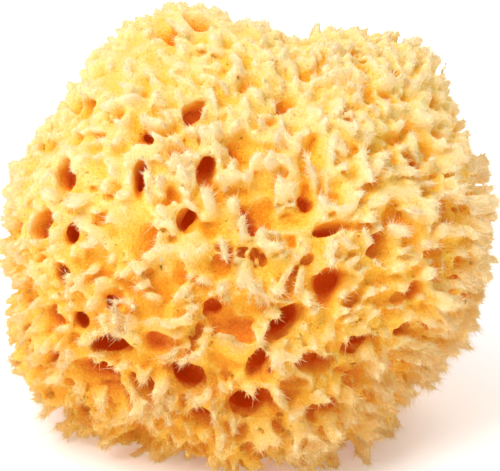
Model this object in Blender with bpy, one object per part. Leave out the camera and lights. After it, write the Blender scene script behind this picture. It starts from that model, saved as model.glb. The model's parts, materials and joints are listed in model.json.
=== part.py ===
"""A natural bath sponge as one grown piece.

The body is a rounded lump, cut off flat where it sat on the rock. Pore canals of all sizes open in
its skin, and the ground between their mouths rises into crests. The sponge rests on its flat cut.
Metres, +Z up, front towards -Y. The photo looks at the front from a little above.
"""

from math import cos, pi, radians, sin

import bpy
import numpy as np

WIDTH = 0.150

# The outline seen in the photo's view: degrees from the right, and the smooth skin's radius in
# metres. The crests stand about 3 mm proud of it.
OUTLINE = (
    (0, 0.0765),
    (22, 0.0790),
    (44, 0.0885),
    (60, 0.0815),
    (78, 0.0715),
    (92, 0.0712),
    (110, 0.0770),
    (128, 0.0792),
    (150, 0.0748),
    (165, 0.0775),
    (180, 0.0755),
    (198, 0.0748),
    (214, 0.0784),
    (228, 0.0787),
    (246, 0.0728),
    (270, 0.0760),
    (298, 0.0745),
    (320, 0.0680),
    (340, 0.0730),
)
HALF_DEPTH = 0.0660
SQUARENESS = 2.25
VIEW_TILT = radians(20)
BASE_DROP = 0.0588

# The pores that open towards the viewer, in millimetres in the view: across and up from the
# middle, width, height, degrees that the long side leans to the left, and depth.
FRONT_PORES = (
    (-15, 38, 7.5, 9.5, -20, 17),
    (-31, 31, 5.0, 6.0, 30, 15),
    (-33, 18, 4.6, 10.0, 20, 15),
    (-54, 16, 7.5, 12.5, 35, 12),
    (-51, 31, 5.5, 8.0, 25, 9),
    (-16, 5, 5.0, 8.0, 5, 16),
    (-8, 2, 13.0, 9.5, 65, 8),
    (-48, 42, 5.5, 6.0, 60, 6),
    (-31, 51, 4.5, 7.0, 5, 6),
    (-5, 53, 4.4, 14.0, 8, 9),
    (7, 49, 6.0, 10.0, 0, 9),
    (23, 49, 6.0, 6.0, 0, 9),
    (47, 50, 7.0, 6.0, 0, 8),
    (46, 36, 12.0, 5.5, -80, 12),
    (54, 23, 6.5, 9.0, 0, 13),
    (29, 20, 8.0, 10.0, -30, 9),
    (21, 10, 6.0, 7.0, 0, 14),
    (29, 5, 11.5, 6.0, 75, 15),
    (61, 7, 10.5, 8.0, -50, 15),
    (-53, -1, 7.0, 6.0, 40, 15),
    (-55, -11, 8.5, 7.5, 50, 13),
    (-65, -13, 10.0, 5.5, 85, 10),
    (-42, -18, 4.5, 6.0, 0, 15),
    (-24, -15, 11.0, 10.0, 40, 8),
    (-50, -26, 7.5, 5.5, 60, 14),
    (-43, -31, 13.0, 8.0, -65, 17),
    (-25, -31, 10.5, 9.5, 20, 9),
    (-12, -20, 6.5, 7.5, -20, 13),
    (-18, -41, 9.5, 11.5, 20, 18),
    (-31, -47, 12.0, 6.0, 75, 14),
    (-1, -50, 9.0, 9.0, 0, 20),
    (-13, -56, 9.0, 6.5, 80, 15),
    (5, -9, 7.5, 12.0, 15, 7),
    (12, -25, 10.5, 8.5, -50, 20),
    (28, -15, 10.0, 13.0, -30, 16),
    (21, -5, 5.5, 6.0, 0, 8),
    (36, -18, 8.5, 8.0, 0, 7),
    (52, -16, 9.5, 8.5, 0, 10),
    (18, -38, 9.0, 6.5, 70, 19),
    (16, -46, 13.0, 8.5, 80, 8),
    (27, -40, 6.0, 5.5, 0, 13),
    (36, -32, 12.0, 5.5, -75, 15),
    (51, -31, 8.5, 5.5, -70, 13),
    (54, -39, 7.0, 5.5, 0, 8),
    (40, -50, 10.0, 6.0, 80, 11),
    (26, -55, 8.5, 5.5, -60, 14),
    (-59, -40, 8.0, 7.0, 30, 10),
    (-34, -57, 7.5, 7.5, 0, 10),
)

# A pore seen at the very edge of the view still points a little forwards: the largest share of the
# outline's radius at which one is set.
EDGE_SHARE = 0.985

# The large pores that cover the rest of the skin: how many, half sizes, depths, the least wall
# between two of them, how long they are for their width, and the lowest that one may point.
FILL_PORES = 130
FILL_HALF_SIZES = (0.0032, 0.0058)
FILL_DEPTHS = (0.010, 0.017)
FILL_WALL = 0.0018
FILL_TRIES = 20000
FILL_SEED = 5
FILL_STRETCH = (0.75, 1.33)
LOWEST_PORE = -0.80

# A canal in shares of its pore's half size: where its wall starts, where its floor starts, and how
# far from it the skin is looked at.
WALL_START = 1.25
FLOOR_START = 0.45
PORE_REACH = 5

# The crests between the pores: their height, how far from a rim they reach it, in half sizes, how
# steeply they rise, and the share of the height that is always there.
CREST_HEIGHT = 0.0044
CREST_REACH = 0.75
CREST_POWER = 1.5
CREST_SHARE = 0.6

# Height or shift, size and seed of the noise in the skin's lumps, the crests, the uneven rims and
# the bends of the whole.
LUMPS = ((0.0028, 0.019, 50), (0.0010, 0.009, 51))
CREST_NOISE = (0.8, 0.006, 70)
RIM_WOBBLE = (0.0012, 0.008, 40)
BEND = (0.0045, 0.036, 60)

# The fine mesh that is shaped first, the even one made from it, and the triangles left at the end.
SKIN_SUBDIVISIONS = 8
EVEN_SIZE = 0.0010
EVEN_SMOOTHS = 5
TRIANGLES = 9800
CUTTER_SIZE = 0.4

# Noise is read from a table of this many random numbers each way.
NOISE_TABLE = 32


def clear_scene():
    for obj in list(bpy.data.objects):
        bpy.data.objects.remove(obj)


def unit(vectors):
    return vectors / np.linalg.norm(vectors, axis=-1, keepdims=True)


def noise(points, size, seed):
    """Smooth noise from -1 to 1 with lumps of one size, at points given in metres."""
    table = np.random.default_rng(seed).uniform(-1, 1, (NOISE_TABLE,) * 3)
    place = points / size + 100
    cell = np.floor(place).astype(int)
    part = place - cell
    part = part * part * (3 - 2 * part)
    total = np.zeros(len(points))
    for corner in np.ndindex(2, 2, 2):
        at = (cell + corner) % NOISE_TABLE
        weight = np.prod(np.where(corner, part, 1 - part), axis=1)
        total += weight * table[at[:, 0], at[:, 1], at[:, 2]]
    return total


def noise_vectors(points, size, seed):
    return np.stack([noise(points, size, seed + k) for k in range(3)], axis=1)


def from_view(across, up, toward):
    """Right, up and towards the viewer in the photo's view, as a vector of the model."""
    back = up * sin(VIEW_TILT) - toward * cos(VIEW_TILT)
    rise = up * cos(VIEW_TILT) + toward * sin(VIEW_TILT)
    return np.stack([across, back, rise], axis=-1)


def to_view(vectors):
    x, y, z = vectors.T
    up = z * cos(VIEW_TILT) + y * sin(VIEW_TILT)
    toward = z * sin(VIEW_TILT) - y * cos(VIEW_TILT)
    return x, up, toward


def outline_radius(across, up):
    """The outline's radius in the direction of across and up, on a smooth closed curve."""
    angles, radii = np.array(OUTLINE).T
    angles = np.append(angles, 360)
    radii = np.append(radii, radii[0])
    turn = np.degrees(np.arctan2(up, across)) % 360
    k = np.clip(np.searchsorted(angles, turn, side="right") - 1, 0, len(angles) - 2)
    t = (turn - angles[k]) / (angles[k + 1] - angles[k])
    t = t * t * (3 - 2 * t)
    return radii[k] * (1 - t) + radii[k + 1] * t


def skin_radius(directions):
    """How far the smooth skin is from the middle, for unit directions."""
    across, up, toward = to_view(directions)
    flat = np.hypot(across, up) / outline_radius(across, up)
    deep = np.abs(toward) / HALF_DEPTH
    return (flat**SQUARENESS + deep**SQUARENESS) ** (-1 / SQUARENESS)


def make_pore(direction, half_wide, half_high, lean, depth):
    """A pore as its direction, two scaled directions across its mouth, its depth and its size."""
    radius = float(skin_radius(direction[None])[0])
    side = unit(np.cross([0.0, 0.0, 1.0], direction))
    rise = np.cross(direction, side)
    wide = side * cos(lean) + rise * sin(lean)
    high = rise * cos(lean) - side * sin(lean)
    spread = (half_wide * half_high) ** 0.5 / radius
    return direction, wide * radius / half_wide, high * radius / half_high, depth, spread


def front_pores():
    """The pores of FRONT_PORES, each set back to where the view meets the skin."""
    made = []
    for across, up, width, height, lean, depth in FRONT_PORES:
        u, v = across / 1000, up / 1000
        share = min(EDGE_SHARE, float(np.hypot(u, v) / outline_radius(u, v)))
        w = HALF_DEPTH * (1 - share**SQUARENESS) ** (1 / SQUARENESS)
        direction = unit(from_view(u, v, w))
        made.append(make_pore(direction, width / 2000, height / 2000, radians(lean), depth / 1000))
    return made


def fill_pores(taken):
    """Pores of random size wherever the ones that are taken leave room, largest first."""
    random = np.random.default_rng(FILL_SEED)
    directions = unit(random.normal(size=(FILL_TRIES, 3)))
    shares = np.sort(random.uniform(0, 1, FILL_TRIES) ** 1.5)[::-1]
    radii = skin_radius(directions)
    smallest, largest = FILL_HALF_SIZES
    centres = [pore[0] for pore in taken]
    spreads = [pore[4] for pore in taken]
    made = []
    for direction, share, radius in zip(directions, shares, radii):
        half = smallest + (largest - smallest) * share
        apart = np.linalg.norm(np.array(centres) - direction, axis=1)
        too_near = (apart < np.array(spreads) + (half + FILL_WALL) / radius).any()
        if too_near or direction[2] < LOWEST_PORE:
            continue
        stretch = random.uniform(*FILL_STRETCH)
        lean = random.uniform(0, pi)
        depth = random.uniform(*FILL_DEPTHS) * (0.5 + 0.5 * share)
        made.append(make_pore(direction, half * stretch, half / stretch, lean, depth))
        centres.append(direction)
        spreads.append(half / radius)
        if len(made) == FILL_PORES:
            break
    return made


def carve(directions, pores):
    """For unit directions, the nearest pore's distance in half sizes, and the canals' depth."""
    nearest = np.full(len(directions), 9.0)
    deepest = np.zeros(len(directions))
    for centre, wide, high, depth, spread in pores:
        near = np.nonzero(directions @ centre > cos(PORE_REACH * spread))[0]
        q = np.hypot(directions[near] @ wide, directions[near] @ high)
        wall = np.clip((WALL_START - q) / (WALL_START - FLOOR_START), 0, 1)
        deepest[near] = np.maximum(deepest[near], depth * wall * wall * (3 - 2 * wall))
        nearest[near] = np.minimum(nearest[near], q)
    return nearest, deepest


def shape_points(directions, pores):
    """The sponge's surface for unit directions, with its middle at the origin."""
    radius = skin_radius(directions)
    skin = directions * radius[:, None]
    shift, size, seed = RIM_WOBBLE
    nearest, deepest = carve(unit(skin + shift * noise_vectors(skin, size, seed)), pores)
    for height, size, seed in LUMPS:
        radius = radius + height * noise(skin, size, seed)
    share, size, seed = CREST_NOISE
    rise = np.clip((nearest - 1) / CREST_REACH, 0, 1) ** CREST_POWER
    radius = radius + CREST_HEIGHT * rise * (CREST_SHARE + share * noise(skin, size, seed)) - deepest
    points = directions * radius[:, None]
    shift, size, seed = BEND
    return points + shift * noise_vectors(points, size, seed)


def add_skin(pores):
    """A fine round mesh pushed out to the skin and in along the canals."""
    bpy.ops.mesh.primitive_ico_sphere_add(subdivisions=SKIN_SUBDIVISIONS, radius=1)
    body = bpy.context.object
    body.name = body.data.name = "sea_sponge"
    directions = np.empty(len(body.data.vertices) * 3)
    body.data.vertices.foreach_get("co", directions)
    points = shape_points(unit(directions.reshape(-1, 3)), pores)
    body.data.vertices.foreach_set("co", points.ravel())
    body.data.update()
    return body


def apply_modifier(obj, kind, **settings):
    modifier = obj.modifiers.new(kind.title(), kind)
    for name, value in settings.items():
        setattr(modifier, name, value)
    bpy.ops.object.modifier_apply(modifier=modifier.name)


def coarsen(body):
    """Evens the mesh out along the canal walls, then thins it to the wanted triangles."""
    apply_modifier(body, "REMESH", mode="VOXEL", voxel_size=EVEN_SIZE)
    apply_modifier(body, "SMOOTH", factor=0.5, iterations=EVEN_SMOOTHS)
    apply_modifier(body, "TRIANGULATE")
    apply_modifier(body, "DECIMATE", ratio=TRIANGLES / len(body.data.polygons))


def cut_base(body):
    """Takes off all that is below the flat cut."""
    place = (0, 0, -BASE_DROP - CUTTER_SIZE / 2)
    bpy.ops.mesh.primitive_cube_add(size=CUTTER_SIZE, location=place)
    block = bpy.context.object
    bpy.context.view_layer.objects.active = body
    apply_modifier(body, "BOOLEAN", operation="DIFFERENCE", object=block)
    bpy.data.objects.remove(block)


def set_down(body):
    """Stands the sponge on its cut at its full width, with its box's middle above the origin."""
    points = np.empty(len(body.data.vertices) * 3)
    body.data.vertices.foreach_get("co", points)
    points = points.reshape(-1, 3)
    low, high = points.min(0), points.max(0)
    points -= [(low[0] + high[0]) / 2, (low[1] + high[1]) / 2, low[2]]
    points *= WIDTH / (high[0] - low[0])
    body.data.vertices.foreach_set("co", points.ravel())
    body.data.update()


def dress(body):
    material = bpy.data.materials.new("sponge_fibre")
    material.use_nodes = True
    shader = material.node_tree.nodes["Principled BSDF"]
    shader.inputs["Base Color"].default_value = (0.90, 0.60, 0.19, 1)
    shader.inputs["Roughness"].default_value = 0.95
    shader.inputs["Metallic"].default_value = 0
    body.data.materials.append(material)


clear_scene()
front = front_pores()
sponge = add_skin([*front, *fill_pores(front)])
coarsen(sponge)
cut_base(sponge)
set_down(sponge)
dress(sponge)
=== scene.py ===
"""A natural bath sponge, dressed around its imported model.

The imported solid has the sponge's form and its large pores. The body here has the same form, grown
finely: furrows and pore canals are taken out of it, fronds and bridges of tissue are grown onto it,
and all of it is one closed skin. A coat of fibres stands on its crests. Metres, +Z up, front
towards -Y.
"""

import json
import logging
from dataclasses import dataclass, field
from enum import Enum
from math import cos, pi, radians, sin

import bpy
import numpy as np
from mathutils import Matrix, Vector

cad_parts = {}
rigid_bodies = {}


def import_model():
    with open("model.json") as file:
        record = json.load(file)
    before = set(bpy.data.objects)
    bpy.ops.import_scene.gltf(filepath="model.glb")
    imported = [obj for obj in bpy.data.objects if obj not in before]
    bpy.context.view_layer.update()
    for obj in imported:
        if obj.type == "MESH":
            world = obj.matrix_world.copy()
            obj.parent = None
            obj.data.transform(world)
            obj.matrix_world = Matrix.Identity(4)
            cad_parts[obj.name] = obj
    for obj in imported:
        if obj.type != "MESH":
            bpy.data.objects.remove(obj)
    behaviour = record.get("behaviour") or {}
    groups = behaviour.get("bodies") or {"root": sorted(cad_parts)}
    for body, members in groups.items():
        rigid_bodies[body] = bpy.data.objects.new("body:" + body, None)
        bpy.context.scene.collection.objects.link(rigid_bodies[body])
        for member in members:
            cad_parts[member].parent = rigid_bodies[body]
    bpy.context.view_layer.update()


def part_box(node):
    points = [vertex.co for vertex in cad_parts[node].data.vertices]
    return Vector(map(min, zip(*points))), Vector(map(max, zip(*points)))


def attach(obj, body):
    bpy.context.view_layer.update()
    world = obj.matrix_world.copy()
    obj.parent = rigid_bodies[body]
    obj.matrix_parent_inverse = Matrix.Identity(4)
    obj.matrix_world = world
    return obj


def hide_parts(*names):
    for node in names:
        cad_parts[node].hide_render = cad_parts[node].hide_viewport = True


LOG = logging.getLogger("sea_sponge")
MM = 0.001

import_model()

Array = np.ndarray


def unit(vectors: Array) -> Array:
    """Vectors of length 1 in the given directions."""
    return vectors / np.maximum(np.linalg.norm(vectors, axis=-1, keepdims=True), 1e-12)


def smooth(x: Array, low: float = 0.0, high: float = 1.0) -> Array:
    """A soft step from 0 at low to 1 at high."""
    t = np.clip((x - low) / (high - low), 0, 1)
    return t * t * (3 - 2 * t)


@dataclass(frozen=True)
class Noise:
    """Smooth noise from -1 to 1.

    Args:
        size: the size of one lump, in metres.
        seed: the number that the noise grows from.
        height: what the noise is multiplied by.
    """

    size: float
    seed: int
    height: float = 1.0

    def at(self, points: Array, shift: int = 0) -> Array:
        """The noise at points given in metres.

        Args:
            points: one row for each point.
            shift: added to the seed, for several unlike noises.

        Returns:
            One number for each point.
        """
        count = 32
        table = np.random.default_rng(self.seed + shift).uniform(-1, 1, (count,) * 3)
        place = points / self.size + 100
        cell = np.floor(place).astype(np.int64)
        part = place - cell
        part = part * part * (3 - 2 * part)
        total = np.zeros(len(points))
        for corner in np.ndindex(2, 2, 2):
            at = (cell + corner) % count
            weight = np.prod(np.where(corner, part, 1 - part), axis=1)
            total += weight * table[at[:, 0], at[:, 1], at[:, 2]]
        return self.height * total

    def vectors(self, points: Array) -> Array:
        """Three unlike noises at each point, as a vector."""
        return np.stack([self.at(points, k) for k in range(3)], axis=1)


@dataclass(frozen=True)
class Skin:
    """The smooth outer form that the pores open in, and the photo's view of it.

    Args:
        outline: degrees from the right, and the radius in metres, seen in the photo's view.
        half_depth: the radius towards the viewer.
        squareness: 2 is an ellipse, and more is boxier.
        tilt: how far above the level the photo looks from.
        base_drop: how far below the middle the flat cut is.
    """

    outline: tuple[tuple[float, float], ...] = (
        (0, 0.0765),
        (22, 0.0790),
        (44, 0.0885),
        (60, 0.0815),
        (78, 0.0715),
        (92, 0.0712),
        (110, 0.0770),
        (128, 0.0792),
        (150, 0.0748),
        (165, 0.0775),
        (180, 0.0755),
        (198, 0.0748),
        (214, 0.0784),
        (228, 0.0787),
        (246, 0.0728),
        (270, 0.0760),
        (298, 0.0745),
        (320, 0.0680),
        (340, 0.0730),
    )
    half_depth: float = 0.0660
    squareness: float = 2.25
    tilt: float = radians(20)
    base_drop: float = 0.0588
    lumps: tuple[Noise, ...] = (Noise(0.019, 50, 0.0028), Noise(0.009, 51, 0.0010))
    bend: Noise = Noise(0.036, 60, 0.0045)
    drift: Noise = Noise(0.0150, 90, 0.75)

    def from_view(self, across: float, up: float, toward: float) -> Array:
        """Right, up and towards the viewer in the photo's view, as a vector of the model."""
        back = up * sin(self.tilt) - toward * cos(self.tilt)
        rise = up * cos(self.tilt) + toward * sin(self.tilt)
        return np.stack([across, back, rise], axis=-1)

    def to_view(self, vectors: Array) -> tuple[Array, Array, Array]:
        """The model's vectors as right, up and towards the viewer in the photo's view."""
        x, y, z = vectors.T
        up = z * cos(self.tilt) + y * sin(self.tilt)
        toward = z * sin(self.tilt) - y * cos(self.tilt)
        return x, up, toward

    def edge(self, across: Array, up: Array) -> Array:
        """The outline's radius in the direction of across and up."""
        angles, radii = np.array(self.outline).T
        angles = np.append(angles, 360)
        radii = np.append(radii, radii[0])
        turn = np.degrees(np.arctan2(up, across)) % 360
        k = np.clip(np.searchsorted(angles, turn, side="right") - 1, 0, len(angles) - 2)
        t = smooth((turn - angles[k]) / (angles[k + 1] - angles[k]))
        return radii[k] * (1 - t) + radii[k + 1] * t

    def radius(self, directions: Array) -> Array:
        """How far the smooth skin is from the middle, for unit directions."""
        across, up, toward = self.to_view(directions)
        flat = np.hypot(across, up) / self.edge(across, up)
        deep = np.abs(toward) / self.half_depth
        return (flat**self.squareness + deep**self.squareness) ** (-1 / self.squareness)

    def lumpy_radius(self, directions: Array) -> Array:
        """The skin's distance with its lumps, for unit directions."""
        radius = self.radius(directions)
        skin = directions * radius[:, None]
        return radius + sum(lump.at(skin) for lump in self.lumps)

    def below_cut(self, directions: Array) -> Array:
        """How much of the skin's distance the flat cut takes away, for unit directions."""
        down = np.maximum(-directions[:, 2], 1e-6)
        return np.maximum(self.radius(directions) - self.base_drop / down, 0)

    def bent(self, points: Array) -> Array:
        """The points after the bends of the whole."""
        return points + self.bend.vectors(points)

    def growth(self, points: Array) -> Array:
        """The directions that the tissue and its fibres grow in: outwards, and drifting together."""
        return unit(unit(points) + self.drift.vectors(points))

    def unbent(self, points: Array) -> Array:
        """Where bent points came from."""
        found = points
        for _ in range(3):
            found = points - self.bend.vectors(found)
        return found


@dataclass(frozen=True)
class Pore:
    """One canal or hollow in the skin.

    Args:
        centre: its unit direction from the middle.
        wide: the direction across the mouth, as long as one over the half width on a unit ball.
        high: the same along the mouth.
        depth: how deep the canal is.
        spread: its mean half size on a unit ball.
        half: its mean half size in metres.
    """

    centre: Array
    wide: Array
    high: Array
    depth: float
    spread: float
    half: float


@dataclass(frozen=True)
class PoreKind:
    """How one size of pore is scattered.

    Args:
        count: the most pores of this kind.
        half_sizes: the smallest and the largest half size.
        depths: the least and the greatest depth.
        wall: the least wall between two pores.
        seed: the number that the places grow from.
        lowest: the lowest that a pore may point, as the height of its unit direction.
        shallow: how rare deep ones are; 1 is even.
    """

    count: int
    half_sizes: tuple[float, float]
    depths: tuple[float, float]
    wall: float
    seed: int
    lowest: float = -1.0
    shallow: float = 1.0


@dataclass
class PoreField:
    """All the pores of the sponge.

    Args:
        skin: the form that they open in.
        front: the pores towards the viewer, in millimetres in the photo's view: across and up from
            the middle, width, height, degrees that the long side leans to the left, and depth.
    """

    skin: Skin
    front: tuple[tuple[float, ...], ...] = (
        (-15, 38, 7.5, 9.5, -20, 17),
        (-31, 31, 5.0, 6.0, 30, 15),
        (-31, 16, 5.5, 11.0, 20, 15),
        (-54, 16, 7.5, 12.5, 35, 12),
        (-51, 31, 5.5, 8.0, 25, 9),
        (-16, 5, 5.0, 8.0, 5, 16),
        (-8, 2, 13.0, 9.5, 65, 8),
        (-48, 42, 5.5, 6.0, 60, 6),
        (-31, 51, 4.5, 7.0, 5, 6),
        (-5, 53, 4.4, 14.0, 8, 9),
        (7, 49, 6.0, 10.0, 0, 9),
        (23, 49, 6.0, 6.0, 0, 9),
        (47, 50, 7.0, 6.0, 0, 8),
        (46, 36, 12.0, 5.5, -80, 12),
        (54, 23, 6.5, 9.0, 0, 13),
        (29, 20, 8.0, 10.0, -30, 6),
        (21, 10, 6.0, 7.0, 0, 14),
        (29, 5, 11.5, 6.0, 75, 15),
        (61, 7, 10.5, 8.0, -50, 15),
        (-53, -1, 7.0, 6.0, 40, 15),
        (-55, -11, 8.5, 7.5, 50, 13),
        (-65, -13, 10.0, 5.5, 85, 10),
        (-42, -18, 4.5, 6.0, 0, 15),
        (-24, -15, 11.0, 10.0, 40, 8),
        (-50, -26, 7.5, 5.5, 60, 14),
        (-40, -35, 16.0, 8.5, -72, 18),
        (-25, -31, 10.5, 9.5, 20, 9),
        (-12, -20, 6.5, 7.5, -20, 13),
        (-16, -43, 10.5, 13.0, 20, 19),
        (-31, -47, 12.0, 6.0, 75, 14),
        (-0.5, -52, 11.5, 11.5, 0, 20),
        (-13, -58, 11.0, 7.5, 80, 16),
        (5, -9, 7.5, 12.0, 15, 7),
        (12, -28, 12.0, 8.5, -60, 20),
        (28, -15, 10.0, 13.0, -30, 16),
        (21, -5, 5.5, 6.0, 0, 8),
        (36, -18, 8.5, 8.0, 0, 7),
        (52, -16, 9.5, 8.5, 0, 10),
        (21, -39, 10.0, 7.0, 70, 19),
        (16, -46, 13.0, 8.5, 80, 8),
        (27, -40, 6.0, 5.5, 0, 13),
        (36, -32, 12.0, 5.5, -75, 15),
        (51, -31, 8.5, 5.5, -70, 13),
        (54, -39, 7.0, 5.5, 0, 8),
        (40, -50, 10.0, 6.0, 80, 11),
        (26, -55, 8.5, 5.5, -60, 14),
        (-59, -40, 8.0, 7.0, 30, 10),
        (-34, -57, 7.5, 7.5, 0, 10),
    )
    edge_share: float = 0.985
    view_distance: float = 0.9
    large: PoreKind = PoreKind(130, (0.0032, 0.0058), (0.010, 0.017), 0.0018, 5, -0.80)
    medium: PoreKind = PoreKind(700, (0.0014, 0.0032), (0.0030, 0.0110), 0.0016, 6, shallow=1.5)
    tries: int = 20000
    stretch: tuple[float, float] = (0.75, 1.33)
    main: list[Pore] = field(default_factory=list)
    fine: list[Pore] = field(default_factory=list)

    def __post_init__(self) -> None:
        """Places every pore, the largest kinds first."""
        self.main = self.front_pores()
        self.main += self.scattered(self.large, self.main)
        self.fine = self.scattered(self.medium, self.main)

    def pore(self, direction: Array, wide: float, high: float, lean: float, depth: float) -> Pore:
        """One pore from its unit direction, half sizes, lean and depth."""
        radius = float(self.skin.radius(direction[None])[0])
        side = unit(np.cross([0.0, 0.0, 1.0], direction))
        rise = np.cross(direction, side)
        across = side * cos(lean) + rise * sin(lean)
        along = rise * cos(lean) - side * sin(lean)
        spread = (wide * high) ** 0.5 / radius
        half = (wide * high) ** 0.5
        return Pore(direction, across * radius / wide, along * radius / high, depth, spread, half)

    def on_skin(self, across: float, up: float) -> Array:
        """The place on the skin that the photo shows at across and up."""
        power = self.skin.squareness
        toward = self.skin.half_depth
        for _ in range(6):
            nearer = 1 - toward / self.view_distance
            share = np.hypot(across, up) * nearer / float(self.skin.edge(across, up))
            toward = self.skin.half_depth * (1 - min(self.edge_share, share) ** power) ** (1 / power)
        return self.skin.from_view(across * nearer, up * nearer, toward)

    def front_pores(self) -> list[Pore]:
        """The pores read from the photo, each set back to where the view meets the skin."""
        made = []
        for across, up, width, height, lean, depth in self.front:
            place = self.on_skin(across * MM, up * MM)
            direction = unit(self.skin.unbent(place[None])[0])
            short, long = sorted((width * MM / 2, height * MM / 2))
            made.append(self.pore(direction, short, long, radians(lean), depth * MM))
        return made

    def scattered(self, kind: PoreKind, taken: list[Pore]) -> list[Pore]:
        """Pores of one kind wherever the ones that are taken leave room, largest first.

        Args:
            kind: their sizes, depths and walls.
            taken: the pores that are there already.

        Returns:
            The new pores.
        """
        random = np.random.default_rng(kind.seed)
        directions = unit(random.normal(size=(self.tries, 3)))
        shares = np.sort(random.uniform(0, 1, self.tries) ** 1.5)[::-1]
        radii = self.skin.radius(directions)
        cuts = self.skin.below_cut(directions)
        smallest, largest = kind.half_sizes
        centres = np.zeros((len(taken) + kind.count, 3))
        spreads = np.zeros(len(centres))
        centres[: len(taken)] = [pore.centre for pore in taken]
        spreads[: len(taken)] = [pore.spread for pore in taken]
        there = len(taken)
        made = []
        for direction, share, radius, cut in zip(directions, shares, radii, cuts):
            half = smallest + (largest - smallest) * share
            apart = np.linalg.norm(centres[:there] - direction, axis=1)
            too_near = (apart < spreads[:there] + (half + kind.wall) / radius).any()
            if too_near or direction[2] < kind.lowest:
                continue
            stretch = random.uniform(*self.stretch)
            lean = random.uniform(0, pi)
            shallowest, deepest = kind.depths
            depth = shallowest + (deepest - shallowest) * random.uniform(0, 1) ** kind.shallow
            depth = depth * (0.5 + 0.5 * share) + cut
            made.append(self.pore(direction, half * stretch, half / stretch, lean, depth))
            centres[there] = direction
            spreads[there] = half / radius
            there += 1
            if len(made) == kind.count:
                break
        return made


def mesh_object(name: str, points: Array, faces: Array) -> bpy.types.Object:
    """A new object with the given points and triangles."""
    mesh = bpy.data.meshes.new(name)
    mesh.vertices.add(len(points))
    mesh.vertices.foreach_set("co", points.astype(np.float32).ravel())
    mesh.loops.add(faces.size)
    mesh.loops.foreach_set("vertex_index", faces.astype(np.int32).ravel())
    mesh.polygons.add(len(faces))
    mesh.polygons.foreach_set("loop_start", np.arange(0, faces.size, 3, dtype=np.int32))
    mesh.update(calc_edges=True)
    made = bpy.data.objects.new(name, mesh)
    bpy.context.scene.collection.objects.link(made)
    return made


def points_of(obj: bpy.types.Object) -> Array:
    """The places of an object's vertices."""
    found = np.empty(len(obj.data.vertices) * 3, np.float32)
    obj.data.vertices.foreach_get("co", found)
    return found.reshape(-1, 3).astype(float)


def put_points(obj: bpy.types.Object, points: Array) -> None:
    """Moves an object's vertices to new places."""
    obj.data.vertices.foreach_set("co", points.astype(np.float32).ravel())
    obj.data.update()


def normals_of(obj: bpy.types.Object) -> Array:
    """The directions that an object's vertices face in."""
    found = np.empty(len(obj.data.vertices) * 3, np.float32)
    obj.data.vertex_normals.foreach_get("vector", found)
    return found.reshape(-1, 3).astype(float)


def triangles_of(obj: bpy.types.Object) -> Array:
    """The corners of an object's faces, which are all triangles."""
    found = np.empty(len(obj.data.polygons) * 3, np.int32)
    obj.data.polygons.foreach_get("vertices", found)
    return found.reshape(-1, 3)


def put_numbers(obj: bpy.types.Object, name: str, values: Array) -> None:
    """Stores one number for each vertex under a name that materials can read."""
    layer = obj.data.attributes.new(name, "FLOAT", "POINT")
    layer.data.foreach_set("value", values.astype(np.float32))


def only(obj: bpy.types.Object) -> None:
    """Makes an object the only selected one, and the active one."""
    bpy.ops.object.select_all(action="DESELECT")
    obj.select_set(True)
    bpy.context.view_layer.objects.active = obj


def apply_modifier(obj: bpy.types.Object, kind: str, **settings: object) -> None:
    """Adds one modifier with its settings and applies it."""
    only(obj)
    modifier = obj.modifiers.new(kind.title(), kind)
    for name, value in settings.items():
        setattr(modifier, name, value)
    bpy.ops.object.modifier_apply(modifier=modifier.name)


def spikes(lines: Array, radii: Array) -> tuple[Array, Array]:
    """Closed three-sided fibres that end in a point.

    Args:
        lines: the points of each fibre, as (fibres, rings, 3), the last one the tip.
        radii: the radius at each ring but the last, as (fibres, rings - 1).

    Returns:
        The points and the triangles of all the fibres.
    """
    count, rings = radii.shape
    along = unit(lines[:, -1] - lines[:, 0])
    side = unit(np.cross(along, np.roll(along, 1, axis=1) + [0.3, -0.2, 0.5]))
    rise = np.cross(along, side)
    turns = np.arange(3) * 2 * pi / 3
    out = np.cos(turns)[:, None] * side[:, None] + np.sin(turns)[:, None] * rise[:, None]
    walls = lines[:, :-1, None] + radii[:, :, None, None] * out[:, None]
    points = np.concatenate([walls.reshape(count, rings * 3, 3), lines[:, -1:]], axis=1)
    faces = [(2, 1, 0)]
    for ring in range(rings - 1):
        for k in range(3):
            a, b = ring * 3 + k, ring * 3 + (k + 1) % 3
            faces += [(a, b, b + 3), (a, b + 3, a + 3)]
    last = (rings - 1) * 3
    faces += [(last + k, last + (k + 1) % 3, last + 3) for k in range(3)]
    shift = np.arange(count)[:, None, None] * points.shape[1]
    return points.reshape(-1, 3), (np.array(faces) + shift).reshape(-1, 3)


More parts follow.
